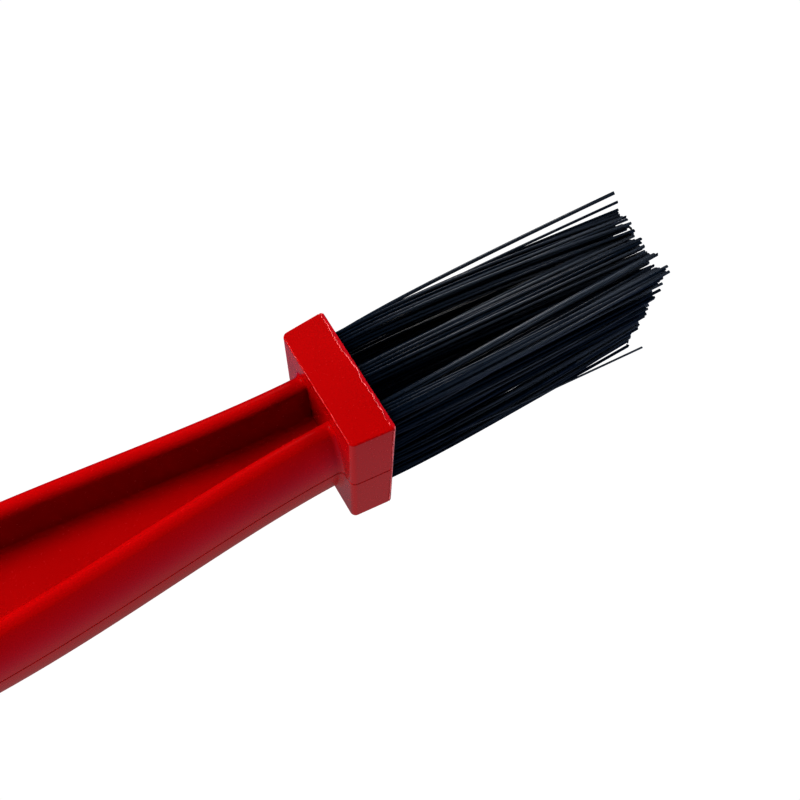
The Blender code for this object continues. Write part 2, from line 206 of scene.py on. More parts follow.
# Soft lights: name, bearing from +X towards +Y and height above the level, both in degrees, distance, size,
# power, share of blue with green halfway to it, and the kind of ray that each serves
SOFT_LIGHTS = (
    ("back_left", 120, 28, 0.80, 0.34, 2.3, 1.0, "diffuse"),
    ("front_left", 236, -4, 0.80, 0.34, 4.8, 1.0, "diffuse"),
    ("back_right", 60, 28, 0.80, 0.34, 2.3, 1.0, "diffuse"),
    ("left", 158, 14, 0.80, 0.34, 2.5, 1.0, "diffuse"),
    ("low_left", 185, -35, 0.80, 0.34, 2.8, 1.0, "diffuse"),
    ("right", 0, 35, 0.80, 0.34, 4.1, 1.0, "diffuse"),
    ("top_left", 150, 60, 0.40, 0.18, 1.80, 1.0, "diffuse"),
    ("front_right", 300, -4, 0.80, 0.50, 2.8, 1.5, "diffuse"),
    ("streak", 62, 30, 0.80, 0.22, 1.5, 0.9, "glossy"),
    ("glint", 156, 40, 0.80, 0.26, 0.5, 1.0, "glossy"),
)
FLOOR_SIZE = 6.0
FLOOR_DROP = 0.0002
DOME_RADIUS = 8.0
DOME_SEGMENTS = 48
DOME_RINGS = 24
STAGE_GLOW = 1.02
VIEW_GAMMA = 0.80

# What the surfaces mirror: share of the way from straight down to straight up, and colour
SURROUNDINGS = (
    (0.00, (0.20, 0.20, 0.20)),
    (0.05, (0.30, 0.30, 0.34)),
    (0.10, (0.12, 0.14, 0.32)),
    (0.17, (0.03, 0.04, 0.15)),
    (0.28, (0.006, 0.010, 0.040)),
    (0.50, (0.004, 0.004, 0.004)),
)

# Colours
RED_DARK = (0.335, 0.0005, 0.0010, 1.0)
RED_LIGHT = (0.355, 0.0008, 0.0014, 1.0)
# Painted sheen: the front plate's pinker red stands in for the light its top catches
RED_PLATE_SHEEN = (0.38, 0.004, 0.011, 1.0)
# Painted reflection: the pale red of the block's upright front edges
RED_PAINTED_SHEEN = (0.56, 0.17, 0.17, 1.0)
# Painted highlight: the flash is paled so that its thin ridges show as bright lines
FLASH_HIGHLIGHT_DARK = (0.47, 0.034, 0.043, 1.0)
FLASH_HIGHLIGHT_LIGHT = (0.78, 0.22, 0.22, 1.0)
NYLON_DARK = (0.0022, 0.0066, 0.0150, 1.0)
NYLON_BRIGHT = (0.046, 0.054, 0.068, 1.0)
NYLON_TONE_POWER = 2.0
STEEL_DARK = (0.46, 0.45, 0.43, 1.0)
STEEL_LIGHT = (0.62, 0.61, 0.59, 1.0)
BLACK = (0.0, 0.0, 0.0, 1.0)
WHITE = (1.0, 1.0, 1.0, 1.0)

# Sheen: roughness, a pair where it runs with the pattern or with the filament's tone, and refraction
RED_ROUGHNESS = (0.22, 0.28)
FLASH_ROUGHNESS = 0.35
NYLON_ROUGHNESS = (0.26, 0.12)
STEEL_ROUGHNESS = (0.28, 0.42)
RED_IOR = 1.48
NYLON_IOR = 1.50

# Noise patterns: scale, detail and roughness, and the range that most of a pattern's values fall in
CLOUD_NOISE = (70.0, 3.0, 0.5)
GRAIN_NOISE = (1500.0, 3.0, 0.6)
DIMPLE_NOISE = (420.0, 2.0, 0.5)
FLASH_NOISE = (900.0, 2.0, 0.5)
DRAWN_NOISE = (900.0, 2.0, 0.5)
WIRE_NOISE = (5000.0, 2.0, 0.5)
NOISE_RANGE = (0.3, 0.7)

# Bumps: depth and strength
DIMPLE_BUMP = (0.000005, 0.12)
DRAWN_BUMP = (0.000006, 0.15)
WIRE_BUMP = (0.00001, 0.3)

# Where the block's red changes: at the plate's seam, where its painted sheen begins, and near its front and
# sides, where a pale reflection is painted on its upright edges
PLATE_BLEND = 0.00003
PAINTED_SHEEN_FRONT_START = 0.00048
PAINTED_SHEEN_FRONT_END = 0.00040
PAINTED_SHEEN_SIDE_START = 0.0004
PAINTED_SHEEN_SIDE_END = 0.0002
PAINTED_SHEEN_SHARE = 0.8

RANDOM_SEED = 5
draw = random.Random(RANDOM_SEED)


def link(name, data):
    """A new object in the scene."""
    item = bpy.data.objects.new(name, data)
    bpy.context.scene.collection.objects.link(item)
    return item


def mesh_from(bm, name):
    """Turns a bmesh into a mesh with its faces pointing out."""
    bmesh.ops.recalc_face_normals(bm, faces=bm.faces)
    mesh = bpy.data.meshes.new(name)
    bm.to_mesh(mesh)
    bm.free()
    return mesh


def add_boolean(item, other, operation):
    """Joins the other object to the item, or cuts it out of it, once its mesh is baked."""
    modifier = item.modifiers.new(operation.lower(), "BOOLEAN")
    modifier.operation = operation
    modifier.solver = "EXACT"
    modifier.object = other


def baked_mesh(item, name):
    """The item's mesh with its modifiers in it; the item and its cutters go."""
    others = [modifier.object for modifier in item.modifiers if modifier.type == "BOOLEAN"]
    seen = item.evaluated_get(bpy.context.evaluated_depsgraph_get())
    mesh = bpy.data.meshes.new_from_object(seen)
    mesh.name = name
    for gone in [item] + others:
        bpy.data.objects.remove(gone, do_unlink=True)
    return mesh


def smooth(mesh):
    """Smooth shading, but for the true edges."""
    mesh.shade_smooth()
    mesh.set_sharp_from_angle(angle=SMOOTH_ANGLE)


def loft(bm, rings):
    """Joins rings of points, each ring closed, into one skin with caps."""
    loops = [[bm.verts.new(point) for point in ring] for ring in rings]
    for near, far in zip(loops, loops[1:]):
        for index in range(len(near)):
            after = (index + 1) % len(near)
            bm.faces.new((near[index], near[after], far[after], far[index]))
    bm.faces.new(list(reversed(loops[0])))
    bm.faces.new(loops[-1])


def smoothstep(share):
    """A smooth rise from zero to one."""
    share = min(max(share, 0.0), 1.0)
    return share * share * (3.0 - 2.0 * share)


# Grip

def rim_half_width(distance):
    """Half the distance between the two rims, at a distance behind the head block."""
    if distance <= BELLY_TO_HEAD:
        return NECK_HALF_WIDTH + (BELLY_HALF_WIDTH - NECK_HALF_WIDTH) * smoothstep(distance / BELLY_TO_HEAD)
    rest = (HANDLE_LENGTH - distance) / (HANDLE_LENGTH - BELLY_TO_HEAD)
    return YOKE_NECK_HALF_WIDTH + (BELLY_HALF_WIDTH - YOKE_NECK_HALF_WIDTH) * smoothstep(rest)


def root_flare(distance):
    """How far the fillet at either end of the grip stands out from its skin."""
    depth = ROOT_FILLET - min(distance, HANDLE_LENGTH - distance)
    if depth <= 0.0:
        return 0.0
    depth = min(depth, ROOT_FILLET)
    return ROOT_FILLET - math.sqrt(ROOT_FILLET ** 2 - depth ** 2)


def quarter_section(distance):
    """The grip's outline in the quarter with y and z above zero, from its side to its web."""
    rim = rim_half_width(distance)
    flare = root_flare(distance)
    shoulder = HANDLE_HEIGHT / 2 - RIM_RADIUS
    back = (shoulder ** 2 - SIDE_BULGE ** 2) / (2 * SIDE_BULGE)
    side_radius = RIM_RADIUS + SIDE_BULGE + back
    turn = math.atan2(shoulder, back)
    start = math.asin(GROOVE_HALF_WIDTH / side_radius)
    points = [(rim - back + side_radius + flare - GROOVE_DEPTH, 0.0)]
    for step in range(SIDE_STEPS):
        angle = start + (turn - start) * step / SIDE_STEPS
        reach = side_radius + flare
        points.append((rim - back + reach * math.cos(angle), reach * math.sin(angle)))
    for step in range(RIM_STEPS + 1):
        share = step / RIM_STEPS
        angle = turn + (math.pi - turn) * share
        reach = RIM_RADIUS + flare * (1.0 - smoothstep(share))
        points.append((rim + reach * math.cos(angle), shoulder + reach * math.sin(angle)))
    floor = WEB_THICKNESS / 2
    foot = rim - RIM_RADIUS - WALL_DRAFT
    for step in range(1, WALL_STEPS):
        share = step / WALL_STEPS
        y = rim - RIM_RADIUS - WALL_DRAFT * share
        z = shoulder + (floor + WEB_FILLET - shoulder) * share
        points.append((y, z))
    for step in range(FILLET_STEPS + 1):
        angle = math.pi / 2 * step / FILLET_STEPS
        y = foot - WEB_FILLET * (1.0 - math.cos(angle))
        z = floor + WEB_FILLET * (1.0 - math.sin(angle))
        points.append((y, z))
    for step in range(1, WEB_STEPS):
        points.append(((foot - WEB_FILLET) * (1.0 - step / WEB_STEPS), floor))
    return points


def section(distance):
    """The whole outline of the grip, once round."""
    quarter = quarter_section(distance)
    upper = quarter + [(0.0, quarter[-1][1])] + [(-y, z) for y, z in reversed(quarter)]
    lower = [(y, -z) for y, z in reversed(upper[1:-1])]
    return upper + lower


def grip_stations():
    """Distances behind the head block at which the grip has a section."""
    fillet = [ROOT_FILLET * (1.0 - math.cos(math.pi / 2 * step / FILLET_STEPS))
              for step in range(1, FILLET_STEPS + 1)]
    belly = [ROOT_FILLET + (BELLY_TO_HEAD - ROOT_FILLET) * step / BELLY_STEPS
             for step in range(1, BELLY_STEPS + 1)]
    tail_length = HANDLE_LENGTH - ROOT_FILLET - BELLY_TO_HEAD
    tail = [BELLY_TO_HEAD + tail_length * step / TAIL_STEPS for step in range(1, TAIL_STEPS + 1)]
    back = [HANDLE_LENGTH - distance for distance in reversed(fillet[:-1])]
    return [-JOIN_DEPTH, 0.0] + fillet + belly + tail + back + [HANDLE_LENGTH, HANDLE_LENGTH + JOIN_DEPTH]


def grip_mesh():
    """The grip, lofted through its sections and sunk a little into the head and the bridge."""
    bm = bmesh.new()
    rings = []
    for distance in grip_stations():
        x = HEAD_FRONT_X - HEAD_THICKNESS - distance
        inside = min(max(distance, 0.0), HANDLE_LENGTH)
        rings.append([(x, y, MID_Z + z) for y, z in section(inside)])
    loft(bm, rings)
    return mesh_from(bm, "grip")


# Head block and yoke, both walls raised from a rounded outline

def rounded(corners):
    """A closed outline with each corner (x, y, radius) turned into an arc."""
    points = []
    count = len(corners)
    for index, (x, y, radius) in enumerate(corners):
        corner = Vector((x, y))
        before = (Vector(corners[index - 1][:2]) - corner).normalized()
        after = (Vector(corners[(index + 1) % count][:2]) - corner).normalized()
        half = before.angle(after) / 2
        middle = (before + after).normalized()
        centre = corner + middle * (radius / math.sin(half))
        start = corner + before * (radius / math.tan(half)) - centre
        end = corner + after * (radius / math.tan(half)) - centre
        turn = start.angle_signed(end)
        for step in range(CORNER_STEPS + 1):
            arm = start.copy()
            arm.rotate(Matrix.Rotation(-turn * step / CORNER_STEPS, 2))
            points.append(centre + arm)
    return points


def inset(points, depth):
    """The outline drawn in by a depth; it runs anticlockwise."""
    moved = []
    count = len(points)
    for index, point in enumerate(points):
        before = (point - points[index - 1]).normalized()
        after = (points[(index + 1) % count] - point).normalized()
        along = (before + after).normalized()
        inward = Vector((-along.y, along.x))
        lengthen = 1.0 / max(before.dot(along), LEAST_MITRE_COSINE)
        moved.append(point + inward * depth * lengthen)
    return moved


def wall_levels(low, high, rounding, groove):
    """Heights and insets of a wall with rounded rims and a groove at its mid height."""
    rim = []
    for step in range(ROUNDING_STEPS + 1):
        angle = math.pi / 2 * step / ROUNDING_STEPS
        rim.append((rounding * (1.0 - math.cos(angle)), rounding * (1.0 - math.sin(angle))))
    levels = [(low + rise, depth) for rise, depth in rim]
    if groove:
        levels += [(MID_Z - GROOVE_HALF_WIDTH, 0.0), (MID_Z, GROOVE_DEPTH), (MID_Z + GROOVE_HALF_WIDTH, 0.0)]
    return levels + [(high - rise, depth) for rise, depth in reversed(rim)]


def wall_mesh(name, outline_at, levels):
    """A solid raised through its levels; outline_at gives the outline at a height."""
    bm = bmesh.new()
    rings = []
    for height, depth in levels:
        rings.append([(point.x, point.y, height) for point in inset(outline_at(height), depth)])
    loft(bm, rings)
    return mesh_from(bm, name)


def head_outline(height, back_x, front_x, shrink, radii):
    """The block's outline at a height: a little wider at its front and at mid height."""
    draft = MOULD_DRAFT * abs(height - MID_Z) / MID_Z + shrink
    middle = HEAD_FRONT_X - HEAD_THICKNESS / 2
    back = HEAD_HALF_WIDTH - draft + HEAD_TAPER * (back_x - middle) / (HEAD_THICKNESS / 2)
    front = HEAD_HALF_WIDTH - draft + HEAD_TAPER * (front_x - middle) / (HEAD_THICKNESS / 2)
    back_radius, front_radius = radii
    return rounded([(front_x, -front, front_radius), (front_x, front, front_radius),
                    (back_x, back, back_radius), (back_x, -back, back_radius)])


def head_mesh():
    """The main part of the block, from its back face to the line where the front plate begins."""
    back_x = HEAD_FRONT_X - HEAD_THICKNESS
    split_x = HEAD_FRONT_X - PLATE_THICKNESS
    radii = (HEAD_BACK_RADIUS, SPLIT_RADIUS)
    levels = wall_levels(FLASH_HEIGHT, HEAD_HEIGHT - FLASH_HEIGHT, EDGE_ROUNDING, True)
    return wall_mesh("head", lambda height: head_outline(height, back_x, split_x, 0.0, radii), levels)


def plate_mesh():
    """The front plate of the block, moulded in the other half of the tool."""
    back_x = HEAD_FRONT_X - PLATE_THICKNESS - PLATE_JOIN
    radii = (SPLIT_RADIUS, HEAD_FRONT_RADIUS)
    low = FLASH_HEIGHT + PLATE_STEP
    levels = wall_levels(low, HEAD_HEIGHT - low, EDGE_ROUNDING, False)
    return wall_mesh("plate", lambda height: head_outline(height, back_x, HEAD_FRONT_X, PLATE_STEP, radii),
                     levels)


def yoke_mesh():
    """The yoke: a bridge across the handle and two legs that run back."""
    bridge_back = HEAD_FRONT_X - HEAD_THICKNESS - HANDLE_LENGTH
    bridge_face = bridge_back - YOKE_BRIDGE_WALL
    leg_face = YOKE_HALF_WIDTH - YOKE_LEG_WALL
    half = [(bridge_back, YOKE_HALF_WIDTH, YOKE_CORNER_RADIUS), (TOE_X, YOKE_HALF_WIDTH, YOKE_TOE_RADIUS),
            (TOE_X, leg_face, YOKE_TOE_RADIUS), (bridge_face, leg_face, YOKE_INNER_RADIUS)]
    outline = rounded(half + [(x, -y, radius) for x, y, radius in reversed(half)])
    levels = wall_levels(0.0, HEAD_HEIGHT, EDGE_ROUNDING, True)
    return wall_mesh("yoke", lambda height: outline, levels)


# Holes

def hole_places():
    """The turned frame of each hole, by its tuft's name; its own +Z runs out of the hole."""
    places = {}
    up = Vector((0.0, 0.0, 1.0))
    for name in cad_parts:
        if "_tuft_" not in name:
            continue
        staple_low, staple_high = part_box(name.replace("_tuft_", "_staple_"))
        tuft_low, tuft_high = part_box(name)
        staple = (staple_low + staple_high) / 2
        run = (tuft_low + tuft_high) / 2 - staple
        axis = 0 if abs(run.x) > abs(run.y) else 1
        normal = Vector((0.0, 0.0, 0.0))
        normal[axis] = math.copysign(1.0, run[axis])
        turn = Matrix((up.cross(normal), up, normal)).transposed().to_4x4()
        places[name] = Matrix.Translation(staple + normal * STAPLE_SINK) @ turn
    return places


def slot_box(bm, length):
    """The room round a staple."""
    size = Vector((length, STAPLE_THICKNESS + 2 * FIT_GAP, STAPLE_HEIGHT + 2 * FIT_GAP))
    place = Matrix.Rotation(STAPLE_ANGLE, 4, "Z") @ Matrix.Translation((0.0, 0.0, -STAPLE_SINK))
    bmesh.ops.create_cube(bm, size=1.0, matrix=place @ Matrix.Diagonal(size.to_4d()))


def circle(radius, height, sides):
    """Points of a circle about the hole's axis."""
    angles = [2 * math.pi * side / sides for side in range(sides)]
    return [(radius * math.cos(angle), radius * math.sin(angle), height) for angle in angles]


def hole_mesh():
    """One blind hole with a chamfered mouth and the pockets of its staple."""
    bm = bmesh.new()
    wide = HOLE_RADIUS + HOLE_CHAMFER
    loft(bm, [circle(HOLE_RADIUS, -HOLE_DEPTH, HOLE_SIDES), circle(HOLE_RADIUS, -HOLE_CHAMFER, HOLE_SIDES),
              circle(wide, 0.0, HOLE_SIDES), circle(wide, CUT_OVERRUN, HOLE_SIDES)])
    hole = link("hole", mesh_from(bm, "hole"))
    bm = bmesh.new()
    slot_box(bm, STAPLE_LENGTH + 2 * FIT_GAP)
    add_boolean(hole, link("slot", mesh_from(bm, "slot")), "UNION")
    return baked_mesh(hole, "hole_with_pockets")


def cutter_mesh(places):
    """All holes as one cutter."""
    one = hole_mesh()
    bm = bmesh.new()
    for place in places.values():
        before = len(bm.verts)
        bm.from_mesh(one)
        bm.verts.ensure_lookup_table()
        bmesh.ops.transform(bm, matrix=place, verts=bm.verts[before:])
    return mesh_from(bm, "holes")


# Handle

def make_handle(places, material):
    """The one moulding in fine detail, joined and drilled."""
    handle = link("handle_rough", grip_mesh())
    for name, mesh in (("head", head_mesh()), ("plate", plate_mesh()), ("yoke", yoke_mesh())):
        add_boolean(handle, link(name, mesh), "UNION")
    add_boolean(handle, link("holes", cutter_mesh(places)), "DIFFERENCE")
    mesh = baked_mesh(handle, "handle_body")
    smooth(mesh)
    mesh.materials.clear()
    mesh.materials.append(material)
    body = link("handle_body", mesh)
    even = body.modifiers.new("even_shading", "WEIGHTED_NORMAL")
    even.keep_sharp = True
    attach(body, "root")
    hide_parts("handle")


# Flash: thin ragged ridges that the mould left along the edges of the block

def add_ridge(bm, start, end, outward, side, kind):
    """A low ragged ridge from start to end; parts of it are worn away."""
    run = end - start
    count = max(int(run.length / kind.pitch), LEAST_RIDGE_STEPS)
    rings = []
    wander = 0.0
    for step in range(count + 1):
        share = step / count
        worn = draw.random() > kind.whole_share
        rise = kind.height * (WORN_HEIGHT_SHARE if worn else draw.uniform(LEAST_HEIGHT_SHARE, 1.0))
        taper = min(1.0, share / RIDGE_END_SHARE, (1.0 - share) / RIDGE_END_SHARE)
        wander = WANDER_KEPT_SHARE * wander + (1.0 - WANDER_KEPT_SHARE) * draw.uniform(-1.0, 1.0)
        base = start + run * share + side * (wander * kind.sway)
        sunk = base - outward * kind.height
        aside = draw.uniform(-CREST_SWAY_SHARE, CREST_SWAY_SHARE) * kind.width
        top = base + outward * (rise * taper) + side * aside
        rings.append([sunk - side * kind.width / 2, sunk + side * kind.width / 2, top])
        if len(rings) > 1 and worn and draw.random() < RIDGE_GAP_SHARE:
            finish_ridge(bm, rings)
            rings = []
    finish_ridge(bm, rings)


def finish_ridge(bm, rings):
    """Skins a stretch of ridge, unless it is too short to show."""
    if len(rings) > 2:
        loft(bm, rings)


def make_flash(material):
    """Ridges along the plate's seam, above, below and at both sides, and on the block's upper back edge."""
    bm = bmesh.new()
    seam_x = HEAD_FRONT_X - PLATE_THICKNESS
    back_x = HEAD_FRONT_X - HEAD_THICKNESS
    top = HEAD_HEIGHT - FLASH_HEIGHT
    side_reach = HEAD_HALF_WIDTH - MOULD_DRAFT
    up = Vector((0.0, 0.0, 1.0))
    along = Vector((1.0, 0.0, 0.0))
    across = Vector((0.0, 1.0, 0.0))
    for level, outward in ((top, up), (FLASH_HEIGHT, -up)):
        reach = side_reach - EDGE_ROUNDING
        add_ridge(bm, Vector((seam_x, reach, level)), Vector((seam_x, -reach, level)), outward, along,
                  SEAM_RIDGE)
    corner = EDGE_ROUNDING * (1.0 - math.sqrt(0.5))
    reach = side_reach - HEAD_BACK_RADIUS
    start = Vector((back_x + corner, reach, top - corner))
    end = Vector((back_x + corner, -reach, top - corner))
    add_ridge(bm, start, end, (up - along).normalized(), (up + along).normalized(), BACK_RIDGE)
    for sign in (-1.0, 1.0):
        y = sign * (HEAD_HALF_WIDTH + HEAD_TAPER * SIDE_RIDGE_TAPER_SHARE)
        low = Vector((seam_x, y, SIDE_RIDGE_MARGIN))
        high = Vector((seam_x, y, HEAD_HEIGHT - SIDE_RIDGE_MARGIN))
        middle = Vector((seam_x, y + sign * MOULD_DRAFT * SIDE_RIDGE_DRAFT_SHARE, MID_Z))
        add_ridge(bm, low, middle, across * sign, along, SIDE_RIDGE)
        add_ridge(bm, middle, high, across * sign, along, SIDE_RIDGE)
    mesh = mesh_from(bm, "mould_flash")
    mesh.materials.append(material)
    flash = link("mould_flash", mesh)
    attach(flash, "root")


# Tufts

def hexagon_places(rings):
    """A hexagonal lattice of spacing one: the middle, then ring after ring."""
    places = [(0.0, 0.0)]
    for ring in range(1, rings + 1):
        for side in range(6):
            corner = math.pi / 3 * side
            along = corner + math.pi * 2 / 3
            for step in range(ring):
                x = ring * math.cos(corner) + step * math.cos(along)
                y = ring * math.sin(corner) + step * math.sin(along)
                places.append((x, y))
    return places


def filament(bm, layer, points, radius, tone):
    """One round filament along its points, cut at a slant; painted shade darkens its tone towards its root.
    """
    run = (points[-2] - points[0]).normalized()
    aside = run.orthogonal().normalized()
    over = run.cross(aside)
    slant = CUT_SLANT * draw.random()
    facing = draw.uniform(0.0, 2 * math.pi)
    rings = []
    for index, point in enumerate(points):
        ring = []
        for side in range(FILAMENT_SIDES):
            angle = 2 * math.pi * side / FILAMENT_SIDES
            place = point + (aside * math.cos(angle) + over * math.sin(angle)) * radius
            if index == len(points) - 1:
                place -= run * (slant * (1.0 + math.cos(angle - facing)))
            ring.append(place)
        rings.append(ring)
    before = len(bm.faces)
    loft(bm, rings)
    bm.faces.ensure_lookup_table()
    for index, face in enumerate(bm.faces[before:]):
        # Painted shade: each filament's tone is darkened towards its root, where the block shades it
        share = index // FILAMENT_SIDES / len(rings)
        face[layer] = tone * (ROOT_SHADE_SHARE + (1.0 - ROOT_SHADE_SHARE) * smoothstep(share / ROOT_SHADE_FADE_SHARE))
        face.smooth = len(face.verts) == 4


def filament_path(root, tip, bow, bulge, length, segments):
    """Points of a filament from inside its hole to its tip, with a slight bow and a bulge near its root."""
    points = [Vector((root.x, root.y, -PLUG_TOP - FIT_GAP))]
    for step in range(segments + 1):
        share = (step / segments) ** STATION_POWER
        side = root.lerp(tip, share) + bow * math.sin(math.pi * share)
        side += bulge * (1.0 - math.exp(-share / BULGE_RISE_SHARE)) * (1.0 - share ** BULGE_POWER)
        points.append(Vector((side.x, side.y, length * share)))
    return points


def long_bulge(place, root):
    """How far a long filament stands out from the bundle's middle between its ends."""
    point = place @ root.to_3d()
    return Vector((point.y / BUNDLE_HALF_WIDTH, (point.z - MID_Z) / BUNDLE_HALF_HEIGHT)) * LONG_BULGE


def kept_low(place, points):
    """The path drawn softly back under the height of the block."""
    kept = []
    for point in points:
        high = (place @ point).z - MID_Z
        kept.append(point + Vector((0.0, squeezed(high, BUNDLE_HALF_HEIGHT, END_SOFTNESS) - high, 0.0)))
    return kept


def hooked(points):
    """The path with its last bit bent aside."""
    aside = scatter(HOOK_REACH)
    end = points[-1]
    bend = points[-1].lerp(points[-2], HOOK_REACH / (points[-1] - points[-2]).length)
    return points[:-1] + [bend, Vector((end.x + aside.x, end.y + aside.y, end.z))]


def plug_mesh():
    """The folded ends of the filaments, pressed together round the staple."""
    bm = bmesh.new()
    radius = HOLE_RADIUS - FIT_GAP / 2
    bottom = -HOLE_DEPTH + FIT_GAP
    edge = FIT_GAP
    loft(bm, [circle(radius - edge, bottom, HOLE_SIDES), circle(radius, bottom + edge, HOLE_SIDES),
              circle(radius, -PLUG_TOP - edge, HOLE_SIDES), circle(radius - edge, -PLUG_TOP, HOLE_SIDES)])
    plug = link("plug", mesh_from(bm, "plug"))
    bm = bmesh.new()
    slot_box(bm, STAPLE_LENGTH + CUT_OVERRUN)
    add_boolean(plug, link("slot", mesh_from(bm, "slot")), "DIFFERENCE")
    return baked_mesh(plug, "plug_with_slot")


def scatter(size):
    """A random step to any side."""
    return Vector((draw.gauss(0.0, size), draw.gauss(0.0, size)))


def squeezed(value, limit, softness):
    """The value, drawn softly back inside its limit."""
    out = abs(value) - limit + softness
    if out <= 0.0:
        return value
    return math.copysign(limit - softness + softness * math.tanh(out / softness), value)


def long_tip(place, tip):
    """Where a long filament ends across its bundle: all lean one way and are gathered in a little."""
    mouth = place.translation
    spot = place @ tip.to_3d()
    across = spot.y - mouth.y * LONG_GATHER_SHARE
    rise = spot.z - MID_Z - (mouth.z - MID_Z) * LONG_RISE_GATHER_SHARE
    y = squeezed(across, LONG_END_HALF_WIDTH, TIP_SOFTNESS) - LONG_LEAN
    z = squeezed(rise, LONG_END_HALF_HEIGHT, TIP_SOFTNESS) + MID_Z + LONG_END_RISE
    return (place.inverted() @ Vector((mouth.x, y, z))).to_2d()


def stray_paths(name, place):
    """Paths and radii of the single filaments that leave this tuft's bundle."""
    back = place.inverted()
    paths = []
    for tuft, root, tip, length, radius in STRAYS:
        if tuft == name:
            ends = [(back @ Vector((place.translation.x, y, z))).to_2d() for y, z in (root, tip)]
            still = Vector((0.0, 0.0))
            bulge = long_bulge(place, ends[0])
            paths.append((filament_path(ends[0], ends[1], still, bulge, length, LONG_SEGMENTS), radius))
    return paths


def shortfall(long):
    """How far a filament ends below its tuft's full length; a few stand proud of the rest."""
    if not long:
        return CHAIN_SHORTFALL + CHAIN_UNEVENNESS * draw.random() ** CHAIN_UNEVENNESS_POWER
    if draw.random() < LONG_PROUD_SHARE:
        return LONG_PROUD_DEPTH * draw.random()
    return LONG_SHORTFALL + LONG_UNEVENNESS * draw.random()


def make_tuft(name, place, plug, material):
    """A bundle of filaments that stands for the tuft's node."""
    bm = bmesh.new()
    layer = bm.faces.layers.float.new("tone")
    long = name.startswith("long")
    length = tuft_length(name, place) - TIP_CLEARANCE
    tip_radius = LONG_TIP_RADIUS if long else CHAIN_TIP_RADIUS
    tip_scatter = LONG_TIP_SCATTER if long else CHAIN_TIP_SCATTER
    bow_size = LONG_BOW if long else CHAIN_BOW
    segments = LONG_SEGMENTS if long else CHAIN_SEGMENTS
    tuft_shift = scatter(TUFT_SCATTER)
    tuft_bow = scatter(bow_size)
    spread = tip_radius / FILAMENT_RINGS
    for x, y in hexagon_places(FILAMENT_RINGS):
        root = Vector((x, y)) * FILAMENT_PITCH + scatter(ROOT_JITTER)
        tip = Vector((x, y)) * spread + scatter(tip_scatter) + tuft_shift
        if long:
            tip = long_tip(place, tip)
        radius = FILAMENT_RADIUS * (1.0 + FILAMENT_SPREAD_SHARE * draw.uniform(-1.0, 1.0))
        bulge = long_bulge(place, root) if long else Vector((0.0, 0.0))
        bow = tuft_bow + scatter(bow_size) + Vector((BUNDLE_BOW if long else 0.0, 0.0))
        points = filament_path(root, tip, bow, bulge, length - shortfall(long), segments)
        if long:
            points = kept_low(place, points)
        if long and draw.random() < HOOK_SHARE:
            points = hooked(points)
        filament(bm, layer, points, radius, draw.random())
    for points, radius in stray_paths(name, place):
        filament(bm, layer, points, radius, draw.random())
    bm.from_mesh(plug)
    bmesh.ops.transform(bm, matrix=place, verts=bm.verts)
    mesh = mesh_from(bm, name + "_filaments")
    mesh.materials.append(material)
    tuft = link(name + "_filaments", mesh)
    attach(tuft, "root")
    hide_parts(name)


def tuft_length(name, place):
    """How far the tuft reaches out of its hole."""
    low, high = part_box(name)
    normal = place.to_3x3() @ Vector((0.0, 0.0, 1.0))
    mouth = place.translation.dot(normal)
    return max(low.dot(normal), high.dot(normal)) - mouth


# Materials

class Nodes:
    """A material's node tree, with short ways to add and join nodes."""

    def __init__(self, name):
        self.material = bpy.data.materials.new(name)
        self.material.use_nodes = True
        self.tree = self.material.node_tree
        self.shader = self.tree.nodes["Principled BSDF"]

    def add(self, kind, **settings):
        """A new node of this kind."""
        node = self.tree.nodes.new(kind)
        for key, value in settings.items():
            setattr(node, key, value)
        return node

    def join(self, out, into):
        """Runs one node's output into another's input."""
        self.tree.links.new(out, into)

    def place(self):
        """The place on the object, in metres."""
        return self.add("ShaderNodeTexCoord").outputs["Object"]

    def noise(self, place, pattern):
        """A pattern of soft random spots."""
        node = self.add("ShaderNodeTexNoise")
        for name, number in zip(("Scale", "Detail", "Roughness"), pattern):
            node.inputs[name].default_value = number
        self.join(place, node.inputs["Vector"])
        return node.outputs["Fac"]

    def spread(self, value, low, high, to_low, to_high):
        """The value, spread from the first range to the second and held inside it."""
        node = self.add("ShaderNodeMapRange")
        for name, number in (("From Min", low), ("From Max", high), ("To Min", to_low), ("To Max", to_high)):
            node.inputs[name].default_value = number
        self.join(value, node.inputs["Value"])
        return node.outputs["Result"]

    def mix(self, share, first, second):
        """A colour between the first and the second, each a colour or an output."""
        node = self.add("ShaderNodeMix", data_type="RGBA")
        self.join(share, node.inputs["Factor"])
        for socket, value in ((node.inputs["A"], first), (node.inputs["B"], second)):
            if isinstance(value, tuple):
                socket.default_value = value
            else:
                self.join(value, socket)
        return node.outputs["Result"]

    def calculate(self, operation, first, second=None):
        """Arithmetic on an output, with a number or a second output where it takes two."""
        node = self.add("ShaderNodeMath", operation=operation)
        self.join(first, node.inputs[0])
        if isinstance(second, float):
            node.inputs[1].default_value = second
        elif second is not None:
            self.join(second, node.inputs[1])
        return node.outputs["Value"]

    def bump(self, height, distance, strength):
        """Fine relief."""
        node = self.add("ShaderNodeBump")
        node.inputs["Distance"].default_value = distance
        node.inputs["Strength"].default_value = strength
        self.join(height, node.inputs["Height"])
        return node.outputs["Normal"]

    def give(self, name, value):
        """Sets an input of the shader to an output or to a plain value."""
        socket = self.shader.inputs[name]
        if isinstance(value, bpy.types.NodeSocket):
            self.join(value, socket)
        else:
            socket.default_value = value


